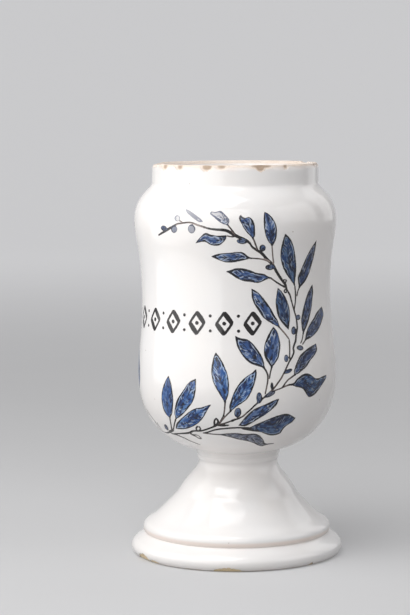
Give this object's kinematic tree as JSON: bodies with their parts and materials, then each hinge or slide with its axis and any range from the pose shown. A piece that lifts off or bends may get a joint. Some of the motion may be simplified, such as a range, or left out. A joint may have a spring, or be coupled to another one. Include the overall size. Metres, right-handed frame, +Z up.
{
  "type": "medicine jar",
  "caption": "Hand-thrown, tin-glazed earthenware medicine jar on a hollow pedestal foot, with a waisted body, rounded shoulder and short open neck, painted with a blue laurel wreath.",
  "frame": {"origin": "centre of the resting ring under the foot, on the surface that the jar stands on", "axes": "+Z up along the jar's axis of turning, out of the mouth; -Y to the front, the side from which the picture was taken; +X to the right seen from the front"},
  "size_m": [0.1248, 0.1248, 0.23],
  "materials": {
    "clay": "matt buff earthenware body, bare at the lip, the resting edge, the chips and inside the foot",
    "slip": "fired luting slip, hidden in the joint",
    "glaze": "glossy opaque white tin glaze, slightly warm where it lies thin",
    "cobalt_paint": "cobalt blue brush painting fired into the glaze",
    "manganese_paint": "brown-black manganese brush lines fired into the glaze"
  },
  "bodies": {
    "root": {"clay_foot": "clay", "luting_slip": "slip", "clay_body": "clay", "outer_glaze": "glaze", "inner_glaze": "glaze"}
  },
  "joints": []
}
